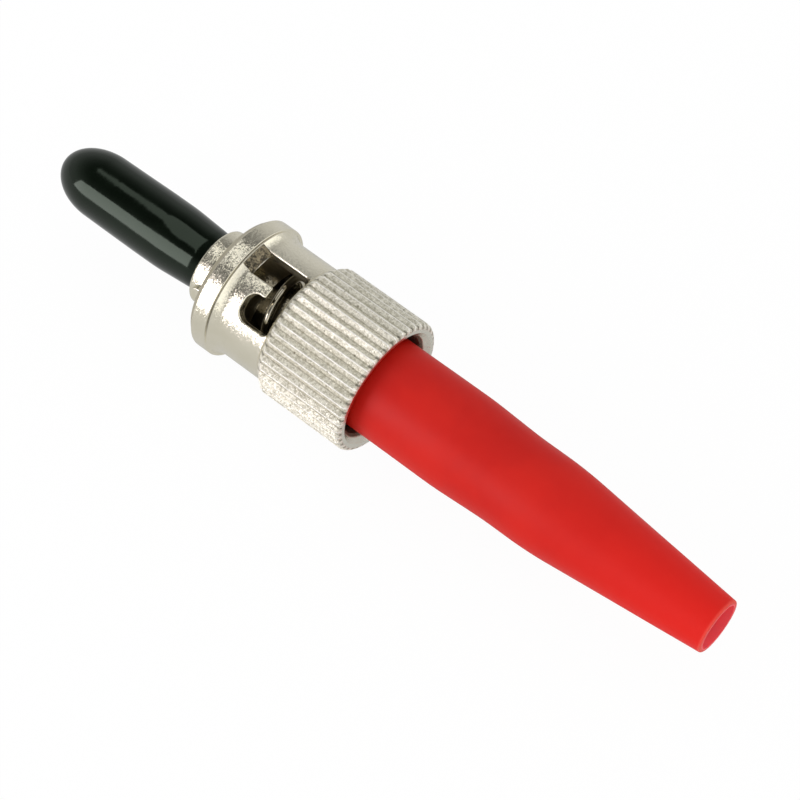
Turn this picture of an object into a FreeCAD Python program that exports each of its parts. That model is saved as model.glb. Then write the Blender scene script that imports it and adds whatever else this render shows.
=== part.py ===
import FreeCAD, Part
import math
import os

# Bayonet fibre connector plug, in millimetres.
# The axis of the plug is X. The origin is the centre of the ferrule's polished end face, +X runs
# back towards the cable and +Z is up. Clock angles are measured about +X, from +Y towards +Z.

# Ferrule
FERRULE_DIAMETER = 2.5
FERRULE_PROTRUSION = 6.85
FERRULE_SOCKET_DEPTH = 4.65
FERRULE_TIP_FLAT_DIAMETER = 1.7
FERRULE_TIP_BEVEL_LENGTH = 0.6
CAPILLARY_DIAMETER = 0.127
LEAD_IN_DIAMETER = 0.95
LEAD_IN_LENGTH = 1.1
FERRULE_BOND_GAP = 0.01

# Ferrule holder
SHANK_DIAMETER = 3.96
SHOULDER_HEIGHT = 0.69
NOSE_LENGTH = 5.1
NOSE_EDGE_ROUND = 0.2
BUFFER_BORE_DIAMETER = 1.1
SHANK_TAIL_LENGTH = 1.2
POST_STEP = 0.36
POST_LENGTH = 6.8
POST_RIDGE_COUNT = 8
POST_RIDGE_DEPTH = 0.12
POST_MOUTH_BEVEL = 0.25
KEY_WIDTH = 1.1
KEY_HEIGHT = 0.36
KEY_SETBACK = 0.46
KEY_LENGTH = 2.6
KEY_CLOCK = 163.0
KEY_EDGE_ROUND = 0.1
KEY_FOOT_ROUND = 0.15

# Coupling spring, right hand, with ground ends
SPRING_WIRE = 0.55
SPRING_SHANK_GAP = 0.2
SPRING_PITCH = 2.5
SPRING_ACTIVE_TURNS = 2.0
SPRING_END_TURNS = 0.6
SPRING_GRIND = 0.1
SPRING_CLOCK = 33.0

# Thrust washer and retaining clip
WASHER_THICKNESS = 0.3
WASHER_EDGE_GAP = 0.15
CLIP_THICKNESS = 0.5
CLIP_REACH = 0.75
CLIP_GROOVE_DEPTH = 0.36
CLIP_GROOVE_PLAY = 0.03
CLIP_MOUTH = 2.6
CLIP_CLOCK = 270.0

# Bayonet nut
NUT_LENGTH = 12.57
ADAPTER_SPACE = 0.78
BARREL_WALL = 0.775
NUT_RUN_GAP = 0.05
WEB_THICKNESS = 1.1
SKIRT_DEPTH = 2.47
SKIRT_GAP = 0.385
SKIRT_BEVEL = 0.5
MOUTH_BEVEL = 0.2
FLANGE_HEIGHT = 0.525
FLANGE_BEVEL = 0.4
FLANGE_BAND = 1.1
FLANGE_STEP = 0.18
FLANGE_COVE_LENGTH = 0.8
FLANGE_EDGE_ROUND = 0.1
FLANGE_STEP_ROUND = 0.06
KNURL_LENGTH = 7.1
KNURL_HEIGHT = 0.53
KNURL_FLANK_SLOPE = 35.0
KNURL_CREST_ROUND = 0.08
KNURL_RIDGES = 42
KNURL_CLOCK = 5.9
KNURL_FRONT_BEVEL = 0.62
KNURL_EDGE_ROUND = 0.12
KNURL_REAR_ROUND = 0.4

# Bayonet slots, between the flange and the knurl
SLOT_COUNT = 2
ENTRY_CLOCK = 88.1
ENTRY_WIDTH = 1.93
ENTRY_SETBACK = 0.05
ENTRY_RAMP = 0.7
LUG_HEIGHT = 0.42
LOCK_TURN = 39.25
CHANNEL_WIDTH = 1.39
DETENT_WIDTH = 2.0
DETENT_DEPTH = 1.08
DETENT_CORNER_ROUND = 0.75
SLOT_CORNER_ROUND = 0.45
TONGUE_CORNER_ROUND = 0.15
SLOT_RIM_ROUND = 0.1

# Crimp sleeve
YARN_SPACE = 0.18
SLEEVE_WALL = 0.35
SLEEVE_CRIMP_LENGTH = 7.3
SLEEVE_STEP_LENGTH = 0.4
SLEEVE_TAIL_LENGTH = 3.6
SLEEVE_CABLE_GAP = 0.08

# Strain-relief boot
CABLE_DIAMETER = 3.0
CABLE_GAP = 0.05
BOOT_LENGTH = 27.15
BOOT_FRONT_GAP = 0.4
BOOT_FIT_GAP = 0.03
BOOT_HEAD_WALL = 1.085
BOOT_HEAD_LENGTH = 7.7
BOOT_NECK_LENGTH = 3.7
BOOT_NECK_DROP = 0.145
BOOT_WAIST_LENGTH = 3.5
BOOT_WAIST_DROP = 0.045
BOOT_BEND_RADIUS = 30.0
BOOT_TIP_WALL = 0.37
BOOT_TIP_ROUND = 0.16
BOOT_FRONT_ROUND = 0.25
BOOT_THROAT_LENGTH = 0.6

# Dust cap
CAP_FIT_GAP = 0.03
CAP_SEAT_GAP = 0.05
CAP_WALL = 1.02
CAP_AIR_SPACE = 3.1
CAP_END_WALL = 3.1
CAP_DOME_LENGTH = 3.5
CAP_MOUTH_TAPER = 0.24
CAP_MOUTH_TAPER_LENGTH = 3.2
CAP_BEND_RADIUS = 15.0
CAP_RIM_ROUND = 0.12

# Radii worked out from the sizes above
ferrule_r = FERRULE_DIAMETER / 2
shank_r = SHANK_DIAMETER / 2
nose_r = shank_r + SHOULDER_HEIGHT
post_r = shank_r - POST_STEP
clip_groove_r = shank_r - CLIP_GROOVE_DEPTH
spring_r = shank_r + SPRING_SHANK_GAP + SPRING_WIRE / 2
nut_bore_r = nose_r + ADAPTER_SPACE
barrel_r = nut_bore_r + BARREL_WALL
flange_r = barrel_r + FLANGE_HEIGHT
knurl_r = barrel_r + KNURL_HEIGHT
lug_path_r = nut_bore_r + LUG_HEIGHT
sleeve_bore_r = post_r + YARN_SPACE
sleeve_r = sleeve_bore_r + SLEEVE_WALL
cable_r = CABLE_DIAMETER / 2
cable_bore_r = cable_r + CABLE_GAP
sleeve_tail_bore_r = cable_r + SLEEVE_CABLE_GAP
sleeve_tail_r = sleeve_tail_bore_r + SLEEVE_WALL
boot_bore_r = sleeve_r + BOOT_FIT_GAP
boot_tail_bore_r = sleeve_tail_r + BOOT_FIT_GAP
boot_head_r = boot_bore_r + BOOT_HEAD_WALL
boot_neck_r = boot_head_r - BOOT_NECK_DROP
boot_waist_r = boot_neck_r - BOOT_WAIST_DROP
boot_tip_r = cable_bore_r + BOOT_TIP_WALL
skirt_r = boot_head_r + SKIRT_GAP
cap_bore_r = ferrule_r + CAP_FIT_GAP
cap_r = cap_bore_r + CAP_WALL

# Stations along X worked out from the sizes above, front to back
nose_face = FERRULE_PROTRUSION
ferrule_rear = nose_face + FERRULE_SOCKET_DEPTH
shoulder = nose_face + NOSE_LENGTH
spring_first = shoulder + SPRING_WIRE / 2 - SPRING_GRIND
spring_last = spring_first + SPRING_PITCH * SPRING_ACTIVE_TURNS
spring_seat = spring_last + SPRING_WIRE / 2 - SPRING_GRIND
web_front = spring_seat + WASHER_THICKNESS
web_rear = web_front + WEB_THICKNESS
clip_rear = web_rear + CLIP_THICKNESS
shank_rear = clip_rear + SHANK_TAIL_LENGTH
post_rear = shank_rear + POST_LENGTH
nut_rear = web_rear + SKIRT_DEPTH
nut_front = nut_rear - NUT_LENGTH
flange_rear = nut_front + FLANGE_BEVEL + FLANGE_BAND
barrel_front = flange_rear + FLANGE_COVE_LENGTH
knurl_front = nut_rear - KNURL_LENGTH
tongue_end = knurl_front - CHANNEL_WIDTH
sleeve_step = shank_rear + SLEEVE_CRIMP_LENGTH
sleeve_tail = sleeve_step + SLEEVE_STEP_LENGTH
sleeve_rear = sleeve_tail + SLEEVE_TAIL_LENGTH
boot_front = clip_rear + BOOT_FRONT_GAP
boot_rear = boot_front + BOOT_LENGTH
cap_mouth = nose_face - CAP_SEAT_GAP
cap_bore_end = -CAP_AIR_SPACE
cap_tip = cap_bore_end - CAP_END_WALL

AXIS_POINT = FreeCAD.Vector(0, 0, 0)
AXIS = FreeCAD.Vector(1, 0, 0)
BEYOND = 2.0
SAME_PLACE = 1e-6


def point(x, radius):
    """A point of a turned piece's outline."""
    return FreeCAD.Vector(x, radius, 0)


def rounded(before, corner, after, radius):
    """A corner of an outline rounded off: where its arc starts, then the pair through, to."""
    back = (before - corner).normalize()
    ahead = (after - corner).normalize()
    inward = (back + ahead).normalize()
    half_angle = back.getAngle(ahead) / 2
    setback = radius / math.tan(half_angle)
    through = corner + inward * (radius / math.sin(half_angle) - radius)
    return [corner + back * setback, (through, corner + ahead * setback)]


def outline_edges(path):
    """The edges of an outline. A pair of points in the path is an arc: through, to."""
    edges = []
    start = path[0]
    for step in path[1:]:
        if isinstance(step, tuple):
            through, end = step
            edges.append(Part.Arc(start, through, end).toShape())
        else:
            end = step
            edges.append(Part.LineSegment(start, end).toShape())
        start = end
    return edges


def turned(path, angle=360):
    """Turn a closed outline about the axis."""
    face = Part.Face(Part.Wire(outline_edges(path + path[:1])))
    return face.revolve(AXIS_POINT, AXIS, angle)


def tube(front, rear, inner_r, outer_r):
    """A plain ring about the axis."""
    corners = [point(front, inner_r), point(front, outer_r), point(rear, outer_r), point(rear, inner_r)]
    return turned(corners)


def clocked(shape, angle):
    """Turn a copy of a shape, drawn at clock angle 0, to another clock angle."""
    copy = shape.copy()
    copy.rotate(AXIS_POINT, AXIS, angle)
    return copy


def slab(corners, width):
    """A flat outline made into a slab of that width, standing out from the axis at clock angle 0."""
    face = Part.Face(Part.makePolygon(corners + corners[:1]))
    face.translate(FreeCAD.Vector(0, 0, -width / 2))
    return face.extrude(FreeCAD.Vector(0, 0, width))


def block(front, rear, inner_r, outer_r, width):
    """A straight-sided block that stands out from the axis at clock angle 0."""
    corners = [point(front, inner_r), point(front, outer_r), point(rear, outer_r), point(rear, inner_r)]
    return slab(corners, width)


def stud(x, diameter, length):
    """A round stud that stands out from the axis at clock angle 0."""
    return Part.makeCylinder(diameter / 2, length, FreeCAD.Vector(x, 0, 0), FreeCAD.Vector(0, 1, 0))


def make_ferrule():
    tip_r = FERRULE_TIP_FLAT_DIAMETER / 2
    hole_r = CAPILLARY_DIAMETER / 2
    return turned([
        point(0, hole_r),
        point(0, tip_r),
        point(FERRULE_TIP_BEVEL_LENGTH, ferrule_r),
        point(ferrule_rear, ferrule_r),
        point(ferrule_rear, LEAD_IN_DIAMETER / 2),
        point(ferrule_rear - LEAD_IN_LENGTH, hole_r),
    ])


def post_ridges():
    """Saw-tooth outline of the crimp post, which grips the cable's yarn."""
    pitch = POST_LENGTH / POST_RIDGE_COUNT
    steps = []
    for ridge in range(POST_RIDGE_COUNT):
        front = shank_rear + ridge * pitch
        steps.append(point(front, post_r))
        steps.append(point(front + pitch, post_r - POST_RIDGE_DEPTH))
    return steps


def make_ferrule_holder():
    socket_r = ferrule_r + FERRULE_BOND_GAP
    buffer_r = BUFFER_BORE_DIAMETER / 2
    groove_rear = clip_rear + CLIP_GROOVE_PLAY
    nose_inner = point(nose_face, socket_r)
    nose_outer = point(nose_face, nose_r)
    nose_rear = point(shoulder, nose_r)
    body = turned([
        nose_inner,
        *rounded(nose_inner, nose_outer, nose_rear, NOSE_EDGE_ROUND),
        nose_rear,
        point(shoulder, shank_r),
        point(web_rear, shank_r),
        point(web_rear, clip_groove_r),
        point(groove_rear, clip_groove_r),
        point(groove_rear, shank_r),
        point(shank_rear, shank_r),
        *post_ridges(),
        point(post_rear, buffer_r + POST_MOUTH_BEVEL),
        point(post_rear - POST_MOUTH_BEVEL, buffer_r),
        point(ferrule_rear, buffer_r),
        point(ferrule_rear, socket_r),
    ])
    key_top = nose_r + KEY_HEIGHT
    key_front = nose_face + KEY_SETBACK
    key_straight = key_front + KEY_WIDTH / 2
    key = block(key_straight, key_front + KEY_LENGTH, 0, key_top, KEY_WIDTH)
    key = key.fuse(stud(key_straight, KEY_WIDTH, key_top)).removeSplitter()
    key_rim = [edge for edge in key.Edges if edge.BoundBox.YMin > key_top - SAME_PLACE]
    key = key.makeFillet(KEY_EDGE_ROUND, key_rim)
    key = key.cut(tube(nose_face, shoulder, 0, (socket_r + nose_r) / 2))
    holder = body.fuse(clocked(key, KEY_CLOCK)).removeSplitter()
    return holder.makeFillet(KEY_FOOT_ROUND, key_foot(holder))


def key_foot(holder):
    """The edges where the key stands on the round of the nose."""
    foot = []
    for edge in holder.Edges:
        surfaces = [face.Surface for face in holder.ancestorsOfType(edge, Part.Face)]
        rounds = [surface for surface in surfaces if isinstance(surface, Part.Cylinder)]
        on_nose = any(abs(surface.Radius - nose_r) < SAME_PLACE for surface in rounds)
        behind_face = edge.BoundBox.XMin > nose_face + NOSE_EDGE_ROUND + SAME_PLACE
        before_shoulder = edge.BoundBox.XMax < shoulder - SAME_PLACE
        if len(surfaces) == 2 and on_nose and behind_face and before_shoulder:
            foot.append(edge)
    return foot


def make_coupling_spring():
    wire_r = SPRING_WIRE / 2
    rise = SPRING_PITCH * SPRING_ACTIVE_TURNS
    end_sweep = 360 * SPRING_END_TURNS
    centre = FreeCAD.Vector(0, 0, 0)
    up = FreeCAD.Vector(0, 0, 1)
    start = FreeCAD.Vector(spring_r, 0, 0)
    helix = Part.makeHelix(SPRING_PITCH, rise, spring_r)
    slope = FreeCAD.Vector(0, 2 * math.pi * spring_r, SPRING_PITCH)
    section = Part.Wire(Part.Circle(start, slope, wire_r).toShape())
    coil = Part.Wire(helix).makePipeShell([section], True, True)
    coil_end = FreeCAD.Rotation(up, 360 * SPRING_ACTIVE_TURNS).multVec(start) + up * rise
    first_turn = Part.makeTorus(spring_r, wire_r, centre, up, 0, 360, end_sweep)
    last_turn = first_turn.copy()
    first_turn.rotate(centre, up, -end_sweep)
    last_turn.rotate(centre, up, 360 * SPRING_ACTIVE_TURNS)
    last_turn.translate(up * rise)
    knees = [Part.makeSphere(wire_r, start), Part.makeSphere(wire_r, coil_end)]
    spring = coil.fuse([first_turn, last_turn] + knees)
    ground = Part.makeCylinder(
        spring_r + SPRING_WIRE, spring_seat - shoulder, up * (shoulder - spring_first), up
    )
    spring = spring.common(ground).removeSplitter()
    spring.rotate(centre, up, SPRING_CLOCK)
    spring.rotate(centre, FreeCAD.Vector(1, 1, 1), 120)
    spring.translate(AXIS * spring_first)
    return spring


def make_thrust_washer():
    return tube(spring_seat, web_front, shank_r + NUT_RUN_GAP, nut_bore_r - WASHER_EDGE_GAP)


def make_retaining_clip():
    ring = tube(web_rear, clip_rear, clip_groove_r, shank_r + CLIP_REACH)
    mouth = block(web_rear, clip_rear, 0, shank_r + CLIP_REACH + BEYOND, CLIP_MOUTH)
    return ring.cut(clocked(mouth, CLIP_CLOCK))


def knurl_ring():
    """The grip: three-cornered ridges with blunt crests, bevelled in front and rounded behind."""
    step = 2 * math.pi / KNURL_RIDGES
    slope = math.radians(KNURL_FLANK_SLOPE)
    corner_r = knurl_r + KNURL_CREST_ROUND * (1 / math.cos(slope) - 1)
    groove_r = corner_r / (math.cos(step / 2) + math.sin(step / 2) * math.tan(slope))

    def rim(index, radius):
        angle = math.radians(KNURL_CLOCK) + index * step
        return FreeCAD.Vector(knurl_front, radius * math.cos(angle), radius * math.sin(angle))

    path = []
    for ridge in range(KNURL_RIDGES):
        groove = rim(ridge, groove_r)
        path.append(groove)
        path.extend(rounded(groove, rim(ridge + 0.5, corner_r), rim(ridge + 1, groove_r), KNURL_CREST_ROUND))
    bar = Part.Face(Part.Wire(outline_edges(path + path[:1]))).extrude(AXIS * KNURL_LENGTH)
    bevel_foot = point(knurl_front, barrel_r)
    bevel_top = point(knurl_front + KNURL_FRONT_BEVEL, knurl_r)
    rear_corner = point(nut_rear, knurl_r)
    rear_axis = point(nut_rear, 0)
    envelope = turned([
        point(knurl_front, 0),
        bevel_foot,
        *rounded(bevel_foot, bevel_top, rear_corner, KNURL_EDGE_ROUND),
        *rounded(bevel_top, rear_corner, rear_axis, KNURL_REAR_ROUND),
        rear_axis,
    ])
    return bar.common(envelope)


def bayonet_slot():
    """One slot: the lug's way in under the flange, the turning channel and the blunt detent."""
    outer_r = knurl_r + BEYOND
    entry_front = flange_rear + ENTRY_SETBACK
    end = knurl_front
    entry = slab([
        point(entry_front, outer_r),
        point(entry_front, flange_r),
        point(entry_front + ENTRY_RAMP, lug_path_r),
        point(entry_front + ENTRY_RAMP, 0),
        point(end, 0),
        point(end, outer_r),
    ], ENTRY_WIDTH)
    lug_path = block(nut_front, end, 0, outer_r, ENTRY_WIDTH)
    lug_path = lug_path.common(tube(nut_front, end, 0, lug_path_r))

    detent_front = tongue_end - DETENT_DEPTH
    detent = block(detent_front, end, 0, outer_r, DETENT_WIDTH)
    detent = detent.makeFillet(DETENT_CORNER_ROUND, slot_corners(detent, detent_front))
    channel = turned([
        point(tongue_end, 0),
        point(tongue_end, outer_r),
        point(end, outer_r),
        point(end, 0),
    ], LOCK_TURN)
    slot = entry.fuse([lug_path, channel, clocked(detent, LOCK_TURN)]).removeSplitter()
    slot = slot.makeFillet(SLOT_CORNER_ROUND, slot_corners(slot, end))
    return slot.makeFillet(TONGUE_CORNER_ROUND, slot_corners(slot, tongue_end))


def slot_corners(slot, x):
    """The slot's corners at one station, as straight edges out from the axis."""
    corners = []
    for edge in slot.Edges:
        ends = [vertex.Point for vertex in edge.Vertexes]
        if len(ends) != 2 or max(abs(corner.x - x) for corner in ends) > SAME_PLACE:
            continue
        reach = [math.hypot(corner.y, corner.z) for corner in ends]
        if max(reach) - min(reach) > barrel_r - nut_bore_r:
            corners.append(edge)
    return corners


def is_outside(face):
    """True for a face of the turned outside of the barrel and its cove."""
    surface = face.Surface
    if isinstance(surface, Part.Cylinder):
        return abs(surface.Radius - barrel_r) < SAME_PLACE
    return isinstance(surface, Part.Toroid)


def slot_rims(body):
    """The edges where the slots break through the outside of the barrel."""
    rims = []
    for edge in body.Edges:
        faces = body.ancestorsOfType(edge, Part.Face)
        outside = [face for face in faces if is_outside(face)]
        before_knurl = edge.BoundBox.XMax < knurl_front + SAME_PLACE
        behind_cove = edge.BoundBox.XMin > barrel_front - SAME_PLACE
        if len(faces) == 2 and len(outside) == 1 and behind_cove and before_knurl:
            rims.append(edge)
    return rims


def make_bayonet_nut():
    front_axis = point(nut_front, 0)
    bevel_front = point(nut_front, flange_r - FLANGE_BEVEL)
    band_front = point(nut_front + FLANGE_BEVEL, flange_r)
    band_rear = point(flange_rear, flange_r)
    cove_front = point(flange_rear, flange_r - FLANGE_STEP)
    cove_rear = point(barrel_front, barrel_r)
    cove_height = FLANGE_HEIGHT - FLANGE_STEP
    cove_radius = (FLANGE_COVE_LENGTH ** 2 + cove_height ** 2) / (2 * cove_height)
    cove_centre = cove_rear + point(0, cove_radius)
    cove_mid = cove_centre + ((cove_front + cove_rear) / 2 - cove_centre).normalize() * cove_radius
    body = turned([
        front_axis,
        *rounded(front_axis, bevel_front, band_front, FLANGE_EDGE_ROUND),
        *rounded(bevel_front, band_front, band_rear, FLANGE_EDGE_ROUND),
        *rounded(band_front, band_rear, cove_front, FLANGE_STEP_ROUND),
        cove_front,
        (cove_mid, cove_rear),
        point(nut_rear, barrel_r),
        point(nut_rear, 0),
    ])
    slot = clocked(bayonet_slot(), ENTRY_CLOCK)
    for index in range(SLOT_COUNT):
        body = body.cut(clocked(slot, 360 * index / SLOT_COUNT))
    body = body.makeFillet(SLOT_RIM_ROUND, slot_rims(body))
    hollow = turned([
        point(nut_front, 0),
        point(nut_front, nut_bore_r + MOUTH_BEVEL),
        point(nut_front + MOUTH_BEVEL, nut_bore_r),
        point(web_front, nut_bore_r),
        point(web_front, shank_r + NUT_RUN_GAP),
        point(web_rear, shank_r + NUT_RUN_GAP),
        point(web_rear, skirt_r),
        point(nut_rear - SKIRT_BEVEL, skirt_r),
        point(nut_rear, skirt_r + SKIRT_BEVEL),
        point(nut_rear, 0),
    ])
    return body.fuse(knurl_ring()).cut(hollow).removeSplitter()


def make_crimp_sleeve():
    return turned([
        point(shank_rear, sleeve_bore_r),
        point(shank_rear, sleeve_r),
        point(sleeve_step, sleeve_r),
        point(sleeve_tail, sleeve_tail_r),
        point(sleeve_rear, sleeve_tail_r),
        point(sleeve_rear, sleeve_tail_bore_r),
        point(sleeve_tail, sleeve_tail_bore_r),
        point(sleeve_step, sleeve_bore_r),
    ])


def make_boot():
    head_rear = boot_front + BOOT_HEAD_LENGTH
    neck_rear = head_rear + BOOT_NECK_LENGTH
    waist_rear = neck_rear + BOOT_WAIST_LENGTH
    front_inner = point(boot_front, boot_bore_r)
    front_outer = point(boot_front, boot_head_r)
    head = point(head_rear, boot_head_r)
    neck = point(neck_rear, boot_neck_r)
    waist = point(waist_rear, boot_waist_r)
    tip_outer = point(boot_rear, boot_tip_r)
    tip_inner = point(boot_rear, cable_bore_r)
    return turned([
        front_inner,
        *rounded(front_inner, front_outer, head, BOOT_FRONT_ROUND),
        *rounded(front_outer, head, neck, BOOT_BEND_RADIUS),
        *rounded(head, neck, waist, BOOT_BEND_RADIUS),
        *rounded(neck, waist, tip_outer, BOOT_BEND_RADIUS),
        *rounded(waist, tip_outer, tip_inner, BOOT_TIP_ROUND),
        tip_inner,
        point(sleeve_rear + BOOT_THROAT_LENGTH, cable_bore_r),
        point(sleeve_rear, boot_tail_bore_r),
        point(sleeve_tail, boot_tail_bore_r),
        point(sleeve_step, boot_bore_r),
    ])


def make_dust_cap():
    dome_rear = cap_tip + CAP_DOME_LENGTH
    taper_front = cap_mouth - CAP_MOUTH_TAPER_LENGTH
    bore_round = cap_bore_end + cap_bore_r
    dome = Part.Ellipse(point(dome_rear, 0), CAP_DOME_LENGTH, cap_r)
    dome_edge = Part.ArcOfEllipse(dome, math.pi / 2, math.pi).toShape()
    side_front = point(dome_rear, cap_r)
    bend = point(taper_front, cap_r)
    mouth_outer = point(cap_mouth, cap_r - CAP_MOUTH_TAPER)
    mouth_inner = point(cap_mouth, cap_bore_r)
    bore_slant = cap_bore_r * math.sin(math.pi / 4)
    edges = outline_edges([
        side_front,
        *rounded(side_front, bend, mouth_outer, CAP_BEND_RADIUS),
        *rounded(bend, mouth_outer, mouth_inner, CAP_RIM_ROUND),
        mouth_inner,
        point(bore_round, cap_bore_r),
        (point(bore_round - bore_slant, bore_slant), point(cap_bore_end, 0)),
        point(cap_tip, 0),
    ])
    edges.append(dome_edge)
    face = Part.Face(Part.Wire(Part.__sortEdges__(edges)))
    return face.revolve(AXIS_POINT, AXIS, 360)


PIECES = {
    "dust_cap": make_dust_cap,
    "ferrule": make_ferrule,
    "ferrule_holder": make_ferrule_holder,
    "coupling_spring": make_coupling_spring,
    "thrust_washer": make_thrust_washer,
    "bayonet_nut": make_bayonet_nut,
    "retaining_clip": make_retaining_clip,
    "crimp_sleeve": make_crimp_sleeve,
    "boot": make_boot,
}

os.makedirs("parts", exist_ok=True)
for name, make in PIECES.items():
    make().exportStep("parts/" + name + ".step")
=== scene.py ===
import math

import bmesh
import bpy
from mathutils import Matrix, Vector, noise


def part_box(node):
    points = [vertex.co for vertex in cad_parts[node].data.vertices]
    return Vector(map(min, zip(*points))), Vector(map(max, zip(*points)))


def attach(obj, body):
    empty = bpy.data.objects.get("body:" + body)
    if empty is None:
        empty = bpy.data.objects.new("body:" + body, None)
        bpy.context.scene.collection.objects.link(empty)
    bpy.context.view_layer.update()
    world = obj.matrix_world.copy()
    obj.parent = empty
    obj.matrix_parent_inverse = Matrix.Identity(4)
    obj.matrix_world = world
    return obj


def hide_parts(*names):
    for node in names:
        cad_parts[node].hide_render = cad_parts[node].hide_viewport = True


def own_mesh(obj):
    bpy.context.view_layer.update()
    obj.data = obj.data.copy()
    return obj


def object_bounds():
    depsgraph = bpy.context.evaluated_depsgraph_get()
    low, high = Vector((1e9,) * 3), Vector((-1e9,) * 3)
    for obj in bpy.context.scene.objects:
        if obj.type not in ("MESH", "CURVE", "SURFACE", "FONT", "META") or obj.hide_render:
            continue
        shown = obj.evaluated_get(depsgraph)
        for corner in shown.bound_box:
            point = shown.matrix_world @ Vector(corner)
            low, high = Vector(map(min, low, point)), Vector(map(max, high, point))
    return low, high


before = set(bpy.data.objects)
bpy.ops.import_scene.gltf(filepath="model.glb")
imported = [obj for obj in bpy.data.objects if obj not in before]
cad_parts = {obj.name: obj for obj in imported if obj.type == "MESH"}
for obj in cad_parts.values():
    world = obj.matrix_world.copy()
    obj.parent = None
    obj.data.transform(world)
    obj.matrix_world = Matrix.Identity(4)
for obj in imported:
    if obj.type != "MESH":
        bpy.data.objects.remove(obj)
cad_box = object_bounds()

# The plug lies along X. Outlines are in mm, the stage is in metres,
# and clock angles are degrees about +X from +Y towards +Z.
MM = 0.001


def span(node):
    """Front and rear of a CAD node along the plug, in mm."""
    low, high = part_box(node)
    return round(low.x / MM, 2), round(high.x / MM, 2)


# How finely the turned pieces are divided, the angle of a crisp corner, and a length that counts as none
ARC_STEPS = 14
CRISP_ANGLE = 40.0
TINY = 1e-6

# Boot, with its outlines from the front face back to the tip and forward again inside.
# An outside corner is (x, radius, round), an inside one (x, radius).
BOOT_FRONT, BOOT_END = span("boot")
BOOT_HEAD_RADIUS = 3.265
BOOT_BORE_RADIUS = 2.18
BOOT_TAIL_BORE_RADIUS = 1.96
CABLE_HOLE_RADIUS = 1.55
BOOT_BEND = 30.0
BOOT_OUTSIDE = [
    (BOOT_FRONT, BOOT_BORE_RADIUS, 0.0),
    (BOOT_FRONT, BOOT_HEAD_RADIUS, 0.25),
    (BOOT_FRONT + 7.7, BOOT_HEAD_RADIUS, BOOT_BEND),
    (BOOT_FRONT + 11.4, 3.08, BOOT_BEND),
    (BOOT_FRONT + 14.9, 3.075, BOOT_BEND),
    (BOOT_END, 1.865, 0.12),
    (BOOT_END, CABLE_HOLE_RADIUS, 0.06),
]
BOOT_INSIDE = [
    (BOOT_FRONT + 12.7, CABLE_HOLE_RADIUS),
    (BOOT_FRONT + 12.1, BOOT_TAIL_BORE_RADIUS),
    (BOOT_FRONT + 8.5, BOOT_TAIL_BORE_RADIUS),
    (BOOT_FRONT + 8.1, BOOT_BORE_RADIUS),
]
BOOT_SIDES = 160
BOOT_STEP = 0.5
BOOT_UNEVEN = 0.012
BOOT_UNEVEN_LENGTH = 5.0
# Where the painted light towards the boot's tip begins
BOOT_TIP_LIGHT_FROM = 30.0

# Dust cap. Its skin stops a little short of the solid's tip and leans to one side.
CAP_FRONT, CAP_MOUTH = span("dust_cap")
CAP_TIP = CAP_FRONT + 0.1
CAP_DOME_REAR = -2.7
CAP_DOME_RADIUS = 2.265
CAP_WIDEST = 1.5
CAP_RADIUS = 2.3
CAP_TAPER_FRONT = 3.6
CAP_LIP_FRONT = 6.1
CAP_LIP_RADIUS = 2.112
CAP_MOUTH_RADIUS = 1.98
CAP_BORE_RADIUS = 1.28
CAP_BORE_END = -3.1
CAP_BORE_MARGIN = 0.06
CAP_SIDES = 144
CAP_STEP = 0.3
CAP_DOME_STEPS = 48
CAP_BORE_STEPS = 12
CAP_UNEVEN = 0.012
CAP_UNEVEN_LENGTH = 3.0
CAP_LEAN = 0.13
CAP_LEAN_CLOCK = 205.0

# Coupling spring
SPRING_FRONT_FACE, SPRING_REAR_FACE = span("coupling_spring")
SPRING_WIRE = 0.55
SPRING_RADIUS = 2.455
SPRING_FIRST = SPRING_FRONT_FACE + 0.175
SPRING_PITCH = 2.5
SPRING_ACTIVE_TURNS = 2.0
SPRING_END_TURNS = 0.6
SPRING_CLOCK = 33.0
SPRING_SIDES = 20
SPRING_STEPS_PER_TURN = 72
SPRING_LOOK_AHEAD = 0.01

# Bayonet nut: its flange, its knurl, the lug's way in, its skirt, and the painted shade on the holder
# inside it
NUT_FRONT, NUT_REAR = span("bayonet_nut")
FLANGE_BEVEL = 0.4
FLANGE_REAR = 10.1
FLANGE_RADIUS = 4.75
KNURL_FRONT = 14.07
KNURL_BEVEL = 0.62
KNURL_GROOVE = 4.548
KNURL_RIDGES = 42
KNURL_CLOCK = 5.9
BARREL_RADIUS = 4.225
ENTRY_CLOCK = 88.1
ENTRY_HALF_WIDTH = 0.965
ENTRY_FRONT = 10.15
RAMP_FOOT = 10.85
RAMP_FOOT_RADIUS = 3.87
# Arc of the painted shade line behind the flange: full about this clock angle, fading out further round
SHADE_LINE_CLOCK = 115.0
SHADE_LINE_FULL = 40.0
SHADE_LINE_FADED = 65.0
SKIRT_RADIUS = 3.65
MOUTH_LAND = 0.33
NUT_SKIN_DEPTH = 0.022
HOLDER_SHADE_LENGTH = 1.9

# Colours of the nut
NICKEL_DEEP = (0.82, 0.775, 0.62)
NICKEL_PALE = (0.87, 0.825, 0.68)
# Painted shade: the forward-facing front bevel coloured dark olive-brown
BEVEL_SHADE = (0.33, 0.30, 0.21)
# Painted shade: a dark line behind the flange
FLANGE_SHADE_LINE = (0.05, 0.043, 0.03)
WORN_DARK = (0.52, 0.49, 0.385)
WORN_PALE = (0.93, 0.90, 0.78)
# Painted highlight along the knurl's ridge crests, with their polish
CREST_HIGHLIGHT = (1.0, 0.98, 0.92)
# Painted shade in the knurl's grooves, with some grime
GROOVE_SHADE_AND_GRIME = (0.34, 0.31, 0.22)
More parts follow.
